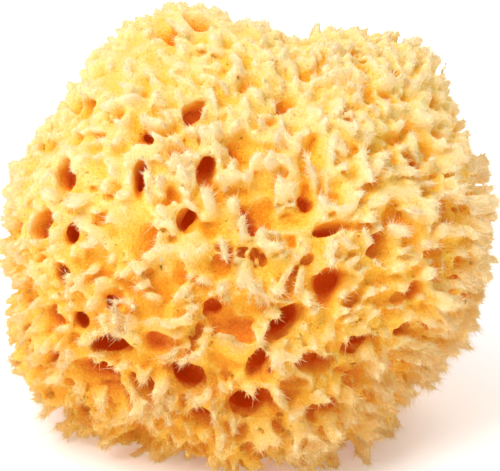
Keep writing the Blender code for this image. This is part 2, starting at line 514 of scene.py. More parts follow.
@dataclass
class Grid:
    """An even grid of points around the sponge, which holds numbers as (x, y, z) arrays.

    Args:
        low: the lowest corner.
        high: the highest corner, at the least.
        pitch: the distance between neighbours.
        coarsest: the widest step that numbers are worked out at.
    """

    low: Array
    high: Array
    pitch: float
    coarsest: int = 4
    shape: tuple[int, ...] = ()

    def __post_init__(self) -> None:
        """Rounds the grid up to whole coarse steps."""
        cells = np.ceil((self.high - self.low) / self.pitch / self.coarsest).astype(int)
        self.shape = tuple(int(count) for count in cells * self.coarsest + 1)

    def points(self, step: int) -> Array:
        """Every step-th point, one row each."""
        axes = []
        for low, count in zip(self.low, self.shape):
            axes.append(low + self.pitch * np.arange(0, count, step))
        return np.stack(np.meshgrid(*axes, indexing="ij"), axis=-1).reshape(-1, 3)

    def spread(self, values: Array, step: int) -> Array:
        """Numbers known at every step-th point, filled in evenly between them."""
        found = values.reshape([(count - 1) // step + 1 for count in self.shape]).astype(np.float32)
        for axis, count in enumerate(self.shape):
            at = np.arange(count)
            low = np.minimum(at // step, found.shape[axis] - 2)
            part = ((at - low * step) / step).astype(np.float32)
            part = part.reshape([-1 if k == axis else 1 for k in range(3)])
            found = np.take(found, low, axis) * (1 - part) + np.take(found, low + 1, axis) * part
        return found

    def window(self, low: Array, high: Array) -> tuple[slice, ...]:
        """The part of the grid from one corner to another."""
        first = np.clip(np.floor((low - self.low) / self.pitch).astype(int), 0, self.shape)
        last = np.clip(np.ceil((high - self.low) / self.pitch).astype(int) + 1, 0, self.shape)
        return tuple(slice(a, b) for a, b in zip(first, last))

    def places(self, part: tuple[slice, ...]) -> Array:
        """The points of a part of the grid, as (x, y, z, 3)."""
        axes = []
        for low, span in zip(self.low, part):
            axes.append(low + self.pitch * np.arange(span.start, span.stop))
        return np.stack(np.meshgrid(*axes, indexing="ij"), axis=-1)

    def sample(self, values: Array, points: Array) -> Array:
        """The grid's numbers at any points."""
        place = (points - self.low) / self.pitch
        cell = np.clip(np.floor(place).astype(int), 0, np.array(self.shape) - 2)
        part = np.clip(place - cell, 0, 1)
        total = np.zeros(len(points))
        for corner in np.ndindex(2, 2, 2):
            at = cell + corner
            weight = np.prod(np.where(corner, part, 1 - part), axis=1)
            total += weight * values[at[:, 0], at[:, 1], at[:, 2]]
        return total

    def blurred(self, values: Array, reach: float) -> Array:
        """Each number as the mean of a cube around it, twice over."""
        half = max(1, round(reach / self.pitch))
        found = values
        for axis in (0, 1, 2, 0, 1, 2):
            wide = [(half + 1, half) if k == axis else (0, 0) for k in range(3)]
            total = np.cumsum(np.pad(found, wide, mode="edge"), axis=axis, dtype=np.float64)
            count = found.shape[axis]
            after = np.take(total, np.arange(2 * half + 1, 2 * half + 1 + count), axis)
            before = np.take(total, np.arange(count), axis)
            found = ((after - before) / (2 * half + 1)).astype(np.float32)
        return found

    def boundary(self, values: Array) -> tuple[Array, Array]:
        """The surface where the numbers cross zero, as points and triangles that face outwards.

        Args:
            values: above zero inside.

        Returns:
            One point in each cell that the surface crosses, and the triangles between them.
        """
        inside = values > 0
        corners = list(np.ndindex(2, 2, 2))
        count = np.zeros(np.array(self.shape) - 1, np.int8)
        for x, y, z in corners:
            count += inside[x : x + count.shape[0], y : y + count.shape[1], z : z + count.shape[2]]
        crossed = (count > 0) & (count < 8)
        cells = np.argwhere(crossed)
        number = np.full(crossed.shape, -1, np.int32)
        number[crossed] = np.arange(len(cells))
        total = np.zeros((len(cells), 3))
        cuts = np.zeros(len(cells))
        faces = []
        for axis, ahead in enumerate(np.eye(3, dtype=int)):
            for corner in (c for c in corners if not c[axis]):
                start = cells + corner
                end = start + ahead
                a = values[start[:, 0], start[:, 1], start[:, 2]]
                b = values[end[:, 0], end[:, 1], end[:, 2]]
                cut = (a > 0) != (b > 0)
                share = np.where(cut, a / np.where(cut, a - b, 1), 0)
                total += np.where(cut[:, None], corner + share[:, None] * ahead, 0)
                cuts += cut
            last = self.shape[axis] - 1
            here = np.take(inside, range(last), axis)
            there = np.take(inside, range(1, last + 1), axis)
            edges = np.argwhere(here != there)
            out = here[edges[:, 0], edges[:, 1], edges[:, 2]]
            u, v = np.roll(ahead, 1), np.roll(ahead, 2)
            ring = [edges, edges - u, edges - u - v, edges - v]
            quad = np.stack([number[at[:, 0], at[:, 1], at[:, 2]] for at in ring], axis=1)
            quad[~out] = quad[~out][:, ::-1]
            faces += [quad[:, [0, 1, 2]], quad[:, [0, 2, 3]]]
        points = self.low + self.pitch * (cells + total / cuts[:, None])
        return points, np.concatenate(faces)


def soft_max(a: Array, b: Array, blend: float) -> Array:
    """The greater of two numbers, rounded where they are within a blend of each other."""
    near = np.maximum(blend - np.abs(a - b), 0)
    return np.maximum(a, b) + near * near / (4 * blend)


@dataclass(frozen=True)
class Limb:
    """One stretch of tissue that narrows from its start to its end.

    Args:
        start: where it starts.
        end: where it ends.
        radii: its radius at both.
        thin: the direction that it is flattened in.
        flat: how much.
    """

    start: Array
    end: Array
    radii: tuple[float, float]
    thin: Array
    flat: float


@dataclass(frozen=True)
class FrondKind:
    """How one kind of frond grows.

    Args:
        count: the most fronds.
        gap: the least distance between two roots.
        length: the length where the tissue is matted, and where it grows free.
        radius: the least and the greatest radius at the root.
        prongs: the most prongs that the end splits into.
        seed: the number that the places grow from.
    """

    count: int
    gap: float
    length: tuple[float, float]
    radius: tuple[float, float]
    prongs: int
    seed: int


@dataclass
class SpongeBody:
    """The whole grown body as one closed mesh.

    The tissue is a field of numbers on a grid, above zero inside: the form, less the furrows and
    canals, plus the fronds and bridges. The mesh is where it crosses zero.

    Args:
        skin: the sponge's form.
        pores: its pores.
        pitch: the distance between the grid's points.
        triangles: how many the finished mesh has, about.
        margin: the room for fronds around the form.
        inset: how far the tissue stays inside the form, so that the fronds reach its outline.
        crown_inset: how much further at the top.
        blend: how softly a limb joins the tissue.
        rim_blend: how softly a canal's wall meets the skin.
        mouth: a canal's width at the skin, as a share of the pore's.
        clear_mouth: the width that stays free of fronds, for a shallow pore and a deep one.
        flare: how fast that widens outside the skin, in shares a metre.
        floor: a canal's width at its end, as a share of the pore's.
        lean: how much a canal leans as it goes down.
        wobble_reach: the most that a rim is moved.
        rim_wobble: what moves the rims.
        furrows: the noises whose zero lines are the crests between furrows.
        furrow_width: where a furrow starts and where it is deepest, as values of those noises.
        furrow_depth: how deep a furrow is.
        furrow_change: how that changes from place to place.
        wild_change: how the wildness changes from place to place.
        calm: what sets the calm patches.
        comb: the directions that fronds are flattened in.
        felt: the fine lumps of the skin.
        fronds: the large fronds and the small ones.
        bridge_count: the strands between crests.
        fit: the body's width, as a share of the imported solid's.
        low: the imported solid's lowest corner.
        high: its highest corner.
        grid: the grid, once it is laid.
        straight: the grid's places as they are before the form is bent.
        form: how deep in the form each point is.
        solid: how deep in the tissue each point is.
    """

    skin: Skin
    pores: PoreField
    pitch: float = 0.0008
    triangles: int = 192000
    margin: float = 0.0090
    inset: float = 0.0045
    crown_inset: float = 0.0070
    blend: float = 0.0014
    rim_blend: float = 0.0010
    mouth: float = 1.15
    clear_mouth: tuple[float, float] = (0.60, 1.00)
    flare: float = 90.0
    floor: float = 0.55
    lean: float = 0.40
    wobble_reach: float = 0.0042
    rim_wobble: tuple[Noise, ...] = (Noise(0.009, 40, 0.0022), Noise(0.0034, 43, 0.0010))
    furrows: tuple[Noise, ...] = (Noise(0.0068, 70), Noise(0.0060, 71))
    furrow_width: tuple[float, float] = (0.07, 0.36)
    furrow_depth: float = 0.0062
    furrow_change: Noise = Noise(0.0140, 76, 0.0030)
    wild_change: Noise = Noise(0.016, 95, 0.3)
    calm: Noise = Noise(0.022, 97)
    comb: Noise = Noise(0.020, 98, 1.5)
    felt: tuple[Noise, ...] = (Noise(0.0030, 90, 0.00060), Noise(0.0016, 91, 0.00040))
    fronds: tuple[FrondKind, ...] = (
        FrondKind(1500, 0.0044, (0.0020, 0.0095), (0.0012, 0.0021), 3, 30),
        FrondKind(3000, 0.0025, (0.0012, 0.0042), (0.0007, 0.0011), 2, 31),
    )
    bridge_count: int = 130
    fit: float = 0.985
    low: Array = field(default_factory=lambda: np.array(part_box("sea_sponge")[0]))
    high: Array = field(default_factory=lambda: np.array(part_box("sea_sponge")[1]))
    grid: Grid = field(init=False)
    straight: Array = field(init=False)
    form: Array = field(init=False)
    solid: Array = field(init=False)

    def wildness(self, points: Array) -> Array:
        """How free and long the tissue grows, from 0 in the matted upper left to 1."""
        across, up, _ = self.skin.to_view(points)
        reach = self.skin.half_depth
        lean = 0.62 + 0.30 * across / reach - 0.45 * up / reach
        calm = smooth(self.calm.at(points), 0.15, 0.55)
        return np.clip((lean + self.wild_change.at(points)) * (1 - 0.6 * calm), 0.08, 1)

    def crown(self, points: Array) -> Array:
        """How much lower the tissue stays near the top, most of all to the right."""
        across, up, _ = self.skin.to_view(points)
        reach = self.skin.half_depth
        right = 1 + 0.6 * smooth(across / reach, 0.0, 0.3)
        return self.crown_inset * smooth(up / reach, 0.1, 0.9) * right

    def start_grid(self) -> None:
        """Lays the grid around the sponge, and works out the form and the straightened places."""
        half = (self.high - self.low) / 2 + self.margin
        foot = -self.skin.base_drop - 3 * self.pitch
        top = self.high[2] - self.skin.base_drop + self.margin
        low, high = np.array([-half[0], -half[1], foot]), np.array([half[0], half[1], top])
        self.grid = Grid(low, high, self.pitch)
        coarse = self.skin.unbent(self.grid.points(4))
        distance = np.linalg.norm(coarse, axis=1)
        form = self.skin.lumpy_radius(unit(coarse)) - distance
        self.form = self.grid.spread(form, 4)
        middling = self.grid.points(2)
        wobble = sum(noise.vectors(middling) for noise in self.rim_wobble)
        parts = []
        for k in range(3):
            parts.append(self.grid.spread(coarse[:, k], 4) + self.grid.spread(wobble[:, k], 2))
        self.straight = np.stack(parts, axis=-1)

    def cut_furrows(self) -> None:
        """Starts the tissue as the form, with furrows between sheets of tissue."""
        middling = self.grid.points(2)
        warped = middling + Noise(0.0060, 78, 0.0022).vectors(middling)
        sheet = np.minimum(*(np.abs(noise.at(warped)) for noise in self.furrows))
        depth = np.maximum(self.furrow_depth + self.furrow_change.at(middling), 0.0008)
        depth = depth * (0.12 + 0.88 * self.wildness(middling))
        furrow = smooth(sheet, *self.furrow_width) * depth
        crown = self.crown(middling)
        self.form -= self.inset + self.grid.spread(crown, 2)
        self.solid = self.form - self.grid.spread(furrow, 2)

    def carve(self, pore: Pore, lean: Array, mouth: float) -> None:
        """Takes one canal out of the tissue.

        Args:
            pore: the canal.
            lean: how much it leans as it goes down.
            mouth: how wide it opens, as a share of the pore's size.
        """
        radius = pore.half / pore.spread
        reach = pore.half * 1.5 * mouth + self.wobble_reach
        ends = pore.centre * np.array([[radius + 0.006], [radius - pore.depth]])
        outer, inner = self.skin.bent(ends)
        part = self.grid.window(np.minimum(outer, inner) - reach, np.maximum(outer, inner) + reach)
        place = self.straight[part]
        below = radius - np.linalg.norm(place, axis=-1)
        direction = unit(place + lean * np.maximum(below, 0)[..., None])
        q = np.hypot(direction @ pore.wide, direction @ pore.high)
        wide = mouth - (mouth - self.floor) * np.clip(below / pore.depth, 0, 1) ** 1.5
        wide = wide + self.flare * np.maximum(-below, 0)
        hole = soft_max((q - wide) * pore.half, below - pore.depth, 0.0015)
        self.solid[part] = -soft_max(-self.solid[part], -hole, self.rim_blend)

    def add_limb(self, limb: Limb) -> None:
        """Grows one limb onto the tissue."""
        reach = max(limb.radii) + self.blend
        low, high = np.minimum(limb.start, limb.end), np.maximum(limb.start, limb.end)
        part = self.grid.window(low - reach, high + reach)
        if min(span.stop - span.start for span in part) < 1:
            return
        off = self.grid.places(part) - limb.start
        along = limb.end - limb.start
        t = np.clip(off @ along / (along @ along), 0, 1)[..., None]
        off = off - t * along
        off = off + (off @ limb.thin)[..., None] * limb.thin * (limb.flat - 1)
        first, last = limb.radii
        value = first + (last - first) * t[..., 0] - np.linalg.norm(off, axis=-1)
        self.solid[part] = soft_max(self.solid[part], value, self.blend)

    def roots(self, count: int, gap: float, seed: int) -> tuple[Array, Array]:
        """Places on the crests, at least a gap apart, and the directions that they face in."""
        random = np.random.default_rng(seed)
        directions = unit(random.normal(size=(40000, 3)))
        radius = self.skin.lumpy_radius(directions) - self.inset
        radius -= self.crown(directions * radius[:, None])
        points = self.skin.bent(directions * radius[:, None])
        solid = self.grid.sample(self.solid, points)
        keep = (solid > -0.0022) & (points[:, 2] > -self.skin.base_drop + 0.0015)
        points, directions, solid = points[keep], directions[keep], solid[keep]
        points = points + directions * np.minimum(solid, 0)[:, None]
        order = np.argsort(-(solid / 0.002 + random.uniform(0, 1, len(solid))))
        chosen = np.zeros((count, 3))
        kept = []
        for k in order:
            there = len(kept)
            if there and (np.abs(chosen[:there] - points[k]).sum(1) < gap * 1.25).any():
                continue
            chosen[there] = points[k]
            kept.append(k)
            if len(kept) == count:
                break
        return points[kept], directions[kept]

    def frond_limbs(self, kind: FrondKind) -> list[Limb]:
        """The limbs of every frond of one kind: a bent stalk, and the prongs that its end splits into."""
        random = np.random.default_rng(kind.seed + 50)
        roots, directions = self.roots(kind.count, kind.gap, kind.seed)
        wild = self.wildness(roots)
        growth = self.skin.growth(roots)
        comb = self.comb.vectors(roots)
        limbs = []
        for root, out, free, way, across in zip(roots, directions, wild, growth, comb):
            matted, grown = kind.length
            length = (matted + (grown - matted) * free) * random.uniform(0.5, 1.1)
            radius = random.uniform(*kind.radius)
            heading = unit(way + random.normal(size=3) * 0.22)
            thin = unit(np.cross(heading, across + random.normal(size=3) * 0.35))
            flat = random.uniform(1.4, 2.4)
            waist = root - out * 0.001 + heading * length * 0.5
            limbs.append(Limb(root - out * 0.002, waist, (radius * 1.25, radius), thin, flat))
            spread = np.cross(heading, thin)
            count = random.integers(1, kind.prongs + 1)
            for k in range(count):
                turn = (k - (count - 1) / 2) * 0.8 + random.normal() * 0.25
                prong = unit(heading + spread * turn + random.normal(size=3) * 0.2)
                end = waist + prong * length * random.uniform(0.35, 0.70)
                radii = (radius * 0.9, radius * random.uniform(0.65, 0.95))
                limbs.append(Limb(waist, end, radii, thin, flat))
        return limbs

    def bridge_limbs(self) -> list[Limb]:
        """Strands of tissue that span from crest to crest, some standing clear of the body."""
        random = np.random.default_rng(35)
        roots, directions = self.roots(1200, 0.0030, 36)
        apart = np.linalg.norm(roots[:, None] - roots[None], axis=2)
        near = np.triu((apart > 0.0050) & (apart < 0.0095))
        first, second = np.nonzero(near)
        pick = random.permutation(len(first))[: self.bridge_count]
        limbs = []
        for a, b in zip(first[pick], second[pick]):
            out = unit(directions[a] + directions[b])
            lift = random.uniform(0, 0.0035)
            middle = (roots[a] + roots[b]) / 2 + out * lift + random.normal(size=3) * 0.0006
            radius = random.uniform(0.0007, 0.0012)
            for end, foot in ((roots[a], directions[a]), (roots[b], directions[b])):
                limbs.append(Limb(end - foot * 0.001, middle, (radius * 1.4, radius), out, 1.3))
        return limbs

    def leans(self) -> Array:
        """How each pore's canal leans: those of the photo go straight away from the viewer."""
        pores = self.pores.main + self.pores.fine
        leans = np.random.default_rng(80).normal(size=(len(pores), 3)) * self.lean
        viewer = self.skin.from_view(0.0, 0.0, 1.0)
        for k in range(len(self.pores.front)):
            facing = float(np.clip(pores[k].centre @ viewer * 1.2, 0, 1))
            leans[k] = viewer * facing + leans[k] * 0.3
        return leans

    def grow(self) -> None:
        """Works out the whole field of tissue."""
        self.start_grid()
        LOG.info("grid of %s points", self.grid.shape)
        self.cut_furrows()
        LOG.info("furrows cut")
        leans = self.leans()
        for pore, lean in zip(self.pores.main + self.pores.fine, leans):
            self.carve(pore, lean, self.mouth)
        LOG.info("%d pores carved", len(self.pores.main + self.pores.fine))
        limbs = self.bridge_limbs()
        for kind in self.fronds:
            limbs += self.frond_limbs(kind)
        for limb in limbs:
            self.add_limb(limb)
        LOG.info("%d limbs grown", len(limbs))
        for pore, lean in zip(self.pores.main, leans):
            deep = smooth(np.array(pore.depth), 0.010, 0.014)
            low, high = self.clear_mouth
            self.carve(pore, lean, low + (high - low) * float(deep))
        near = np.abs(self.solid) < 0.0015
        points = self.grid.low + self.pitch * np.argwhere(near)
        rough = 0.35 + 0.65 * self.wildness(points)
        self.solid[near] += sum(noise.at(points) for noise in self.felt) * rough
        height = self.grid.low[2] + self.pitch * np.arange(self.grid.shape[2]) + self.skin.base_drop
        self.solid = np.minimum(self.solid, height.astype(np.float32))

    def keep_largest(self, body: bpy.types.Object) -> None:
        """Removes loose crumbs and closed bubbles."""
        only(body)
        highest = int(np.argmax(points_of(body)[:, 2]))
        bpy.ops.object.mode_set(mode="EDIT")
        bpy.ops.mesh.select_all(action="DESELECT")
        bpy.ops.object.mode_set(mode="OBJECT")
        body.data.vertices[highest].select = True
        bpy.ops.object.mode_set(mode="EDIT")
        bpy.ops.mesh.select_linked()
        bpy.ops.mesh.select_all(action="INVERT")
        bpy.ops.mesh.delete(type="VERT")
        bpy.ops.object.mode_set(mode="OBJECT")

    def mark(self, body: bpy.types.Object) -> None:
        """Stores how deep and how shut in each point is, for the materials: the colour deepens with depth,
        partly the fibre's own and partly painted shade, and is painted darker where a point is shut in.
        """
        points, normals = points_of(body), normals_of(body)
        full = np.clip(self.solid / self.pitch + 0.5, 0, 1)
        put_numbers(body, "depth", self.grid.sample(self.form, points) / MM)
        around = points + normals * 0.001
        # How shut in each point is, which the materials paint as shade.
        put_numbers(body, "tight", self.grid.sample(self.grid.blurred(full, 0.0034), around))
        put_numbers(body, "bulge", self.grid.sample(self.grid.blurred(full, 0.0012), points))
        put_numbers(body, "wild", self.wildness(points))

    def set_down(self, body: bpy.types.Object) -> None:
        """Stands the body on its cut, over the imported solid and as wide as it."""
        points = points_of(body)
        low, high = points.min(0), points.max(0)
        middle = (low + high) / 2
        wanted = (self.low + self.high) / 2
        scale = self.fit * (self.high[0] - self.low[0]) / (high[0] - low[0])
        LOG.info("grown %s mm, scaled by %.3f", np.round((high - low) / MM, 1), scale)
        points[:, 2] = np.maximum(points[:, 2] + self.skin.base_drop, 0)
        points[points[:, 2] < self.pitch * 0.6, 2] = 0
        points *= scale
        points[:, 0] += wanted[0] - middle[0] * scale
        points[:, 1] += wanted[1] - middle[1] * scale
        put_points(body, points)

    def build(self) -> bpy.types.Object:
        """Grows the tissue and makes it one mesh."""
        self.grow()
        points, faces = self.grid.boundary(self.solid)
        body = mesh_object("sponge_body", points, faces)
        LOG.info("surface of %d triangles", len(faces))
        self.keep_largest(body)
        apply_modifier(body, "SMOOTH", factor=0.4, iterations=2)
        apply_modifier(body, "DECIMATE", ratio=self.triangles / len(body.data.polygons))
        apply_modifier(body, "TRIANGULATE")
        self.mark(body)
        self.set_down(body)
        only(body)
        bpy.ops.object.shade_smooth()
        LOG.info("%s: %d triangles", body.name, len(body.data.polygons))
        return body


@dataclass(frozen=True)
class CoatLayer:
    """One layer of fibres.

    Args:
        name: the piece's name.
        count: how many fibres.
        rings: the rings of one fibre, root to tip.
        length: the least and the greatest length.
        root: the radius at the root.
        tip: the radius at the tip, as a share of the root's.
        clump: the size of the tufts that fibres lean into.
        gather: how strongly they do.
        stray: how much each goes its own way.
        deepest: how far below the skin the layer still grows, in millimetres.
        outer: how much more of the layer grows on what sticks out.
        seed: the number that the layer grows from.
    """

    name: str
    count: int
    rings: int
    length: tuple[float, float]
    root: float
    tip: float
    clump: float
    gather: float
    stray: float
    deepest: float
    outer: float
    seed: int


@dataclass
class FibreCoat:
    """The fibres that stand on the body's crests."""

    skin: Skin
    body: bpy.types.Object
    layers: tuple[CoatLayer, ...] = (
        CoatLayer("crest_fuzz", 49500, 2, (0.0008, 0.0021), 0.0001, 1.0, 0.0013, 0.7, 0.25, 7.0, 2.0, 101),
        CoatLayer("ridge_fuzz", 49500, 2, (0.0008, 0.0025), 0.0001, 1.0, 0.0017, 0.7, 0.25, 5.0, 6.0, 102),
        CoatLayer("crest_fringe", 19500, 3, (0.0012, 0.0034), 0.0001, 0.7, 0.0016, 0.8, 0.22, 4.0, 8.0, 104),
        CoatLayer("tuft_hairs", 12300, 4, (0.0018, 0.0048), 0.00009, 0.5, 0.0022, 0.9, 0.2, 1.0, 9.0, 103),
    )

    def numbers(self, name: str) -> Array:
        """A number that is stored for each of the body's vertices."""
        data = self.body.data.attributes[name].data
        found = np.empty(len(data), np.float32)
        data.foreach_get("value", found)
        return found.astype(float)

    def roots(self, layer: CoatLayer) -> dict[str, Array]:
        """Where a layer's fibres stand, and what the body is like there.

        Args:
            layer: the layer.

        Returns:
            The places, the directions that the body faces in, the depths and the wildness.
        """
        random = np.random.default_rng(layer.seed)
        points, normals = points_of(self.body), normals_of(self.body)
        faces = triangles_of(self.body)
        depth, bulge = self.numbers("depth"), self.numbers("bulge")
        tight = self.numbers("tight")
        wild = self.numbers("wild")
        a, b, c = (points[faces[:, k]] for k in range(3))
        area = np.linalg.norm(np.cross(b - a, c - a), axis=1) / 2
        high = a[:, 2] > 0.0008
        share = smooth(layer.deepest - depth[faces].mean(1), 0, 5)
        share = share * (0.1 + layer.outer * (1 - smooth(bulge[faces].mean(1), 0.25, 0.50)))
        share = share * (0.7 + 0.3 * wild[faces].mean(1))
        weight = area * share * high
        face = random.choice(len(faces), layer.count, p=weight / weight.sum())
        u, v = random.uniform(size=(2, layer.count))
        over = u + v > 1
        u[over], v[over] = 1 - u[over], 1 - v[over]
        corners = faces[face]
        parts = np.stack([1 - u - v, u, v], axis=1)
        return {
            "places": (points[corners] * parts[:, :, None]).sum(1),
            "normals": unit((normals[corners] * parts[:, :, None]).sum(1)),
            "depth": (depth[corners] * parts).sum(1),
            "bulge": (bulge[corners] * parts).sum(1),
            "tight": (tight[corners] * parts).sum(1),
            "wild": (wild[corners] * parts).sum(1),
        }

    def layer_piece(self, layer: CoatLayer) -> bpy.types.Object:
        """One layer of fibres as a single mesh."""
        found = self.roots(layer)
        random = np.random.default_rng(layer.seed + 50)
        places, normals = found["places"], found["normals"]
        count = layer.count
        middle = np.array([0, 0, self.skin.base_drop])
        growth = self.skin.growth(places - middle)
        clump = Noise(layer.clump, layer.seed + 10, layer.gather).vectors(places)
        stray = random.normal(size=(count, 3)) * layer.stray
        heading = unit(0.7 * normals + growth + clump + stray)
        short, long = layer.length
        grow = random.uniform(0, 1, count) ** 1.4 * (0.5 + 0.5 * found["wild"])
        grow = grow * (1 - 0.5 * smooth(found["bulge"], 0.25, 0.50))
        length = short + (long - short) * grow
        t = np.linspace(0, 1, layer.rings)
        bend = random.normal(size=(count, 3)) * 0.20
        way = length[:, None, None] * t[:, None]
        start = places - normals * 0.00025
        lines = start[:, None] + heading[:, None] * way + bend[:, None] * way * t[:, None]
        lines[:, :, 2] = np.maximum(lines[:, :, 2], 0.0002)
        thick = layer.root * random.uniform(0.7, 1.3, count)
        taper = 1 - (1 - layer.tip) * np.linspace(0, 1, layer.rings - 1)
        points, faces = spikes(lines, thick[:, None] * taper)
        piece = mesh_object(layer.name, points, faces)
        each = len(points) // count
        along = np.concatenate([np.repeat(t[:-1], 3), [1]])
        put_numbers(piece, "along", np.tile(along, count))
        put_numbers(piece, "depth", np.repeat(found["depth"], each))
        put_numbers(piece, "bulge", np.repeat(found["bulge"], each))
        put_numbers(piece, "tight", np.repeat(found["tight"], each))
        put_numbers(piece, "wild", np.repeat(found["wild"], each))
        put_numbers(piece, "shade", np.repeat(random.uniform(0, 1, count), each))
        self.lay_out(piece, count, along, faces)
        only(piece)
        bpy.ops.object.shade_smooth()
        LOG.info("%s: %d fibres, %d triangles", layer.name, count, len(faces))
        return piece

    def lay_out(self, piece: bpy.types.Object, count: int, along: Array, faces: Array) -> None:
        """Gives each fibre a cell of its own on the piece's map, its root at the cell's foot."""
        each = len(along)
        columns = int(np.ceil(count**0.5))
        fibre = faces // each
        local = faces % each
        sides = np.where(local < each - 1, (local % 3) / 3, 0.5)
        uv = np.empty((faces.size, 2))
        uv[:, 0] = ((fibre % columns) + 0.15 + 0.7 * sides).ravel() / columns
        uv[:, 1] = ((fibre // columns) + 0.10 + 0.8 * along[local]).ravel() / columns
        layer = piece.data.uv_layers.new(name="OFBake")
        layer.data.foreach_set("uv", uv.astype(np.float32).ravel())

    def build(self) -> list[bpy.types.Object]:
        """All the layers, as pieces."""
        return [self.layer_piece(layer) for layer in self.layers]


class Socket:
    """A shader socket that can be added, multiplied and mixed as a number."""

    def __init__(self, tree: bpy.types.NodeTree, socket: object) -> None:
        """Wraps a node's output, or a plain number."""
        self.tree = tree
        self.socket = socket

    def _maths(self, operation: str, other: object) -> "Socket":
        """One Math node on this value and another."""
        made = add_node(self.tree, "ShaderNodeMath", {"operation": operation}, {0: self, 1: other})
        return Socket(self.tree, made.outputs[0])

    def __add__(self, other: object) -> "Socket":
        """This value plus another."""
        return self._maths("ADD", other)

    __radd__ = __add__

    def __mul__(self, other: object) -> "Socket":
        """This value times another."""
        return self._maths("MULTIPLY", other)

    __rmul__ = __mul__

    def __sub__(self, other: object) -> "Socket":
        """This value less another."""
        return self._maths("SUBTRACT", other)

    def __rsub__(self, other: object) -> "Socket":
        """Another value less this one."""
        return Socket(self.tree, other)._maths("SUBTRACT", self)

    def step(self, low: float, high: float) -> "Socket":
        """A soft step from 0 at low to 1 at high."""
        made = add_node(
            self.tree,
            "ShaderNodeMapRange",
            {"interpolation_type": "SMOOTHSTEP"},
            {"Value": self, "From Min": low, "From Max": high},
        )
        return Socket(self.tree, made.outputs["Result"])


def add_node(tree: bpy.types.NodeTree, kind: str, settings: dict, inputs: dict) -> bpy.types.Node:
    """One shader node.

    Args:
        tree: the tree that it is added to.
        kind: the node's type.
        settings: its properties, and "stops" for a ramp's (place, colour) pairs.
        inputs: the value of each input, or the socket that feeds it.

    Returns:
        The node.
    """
    node = tree.nodes.new(kind)
    for name, value in settings.items():
        if name == "stops":
            ramp = node.color_ramp
            while len(ramp.elements) < len(value):
                ramp.elements.new(1.0)
            for element, (place, colour) in zip(ramp.elements, value):
                element.position = place
                element.color = (*colour, 1)
        else:
            setattr(node, name, value)
    for name, value in inputs.items():
        if isinstance(value, Socket):
            value = value.socket
        if isinstance(value, bpy.types.NodeSocket):
            tree.links.new(value, node.inputs[name])
        else:
            node.inputs[name].default_value = value
    return node


class Part(Enum):
    """What a finish is for."""

    BODY = "body"
    FIBRE = "fibre"


Colour = tuple[float, float, float]


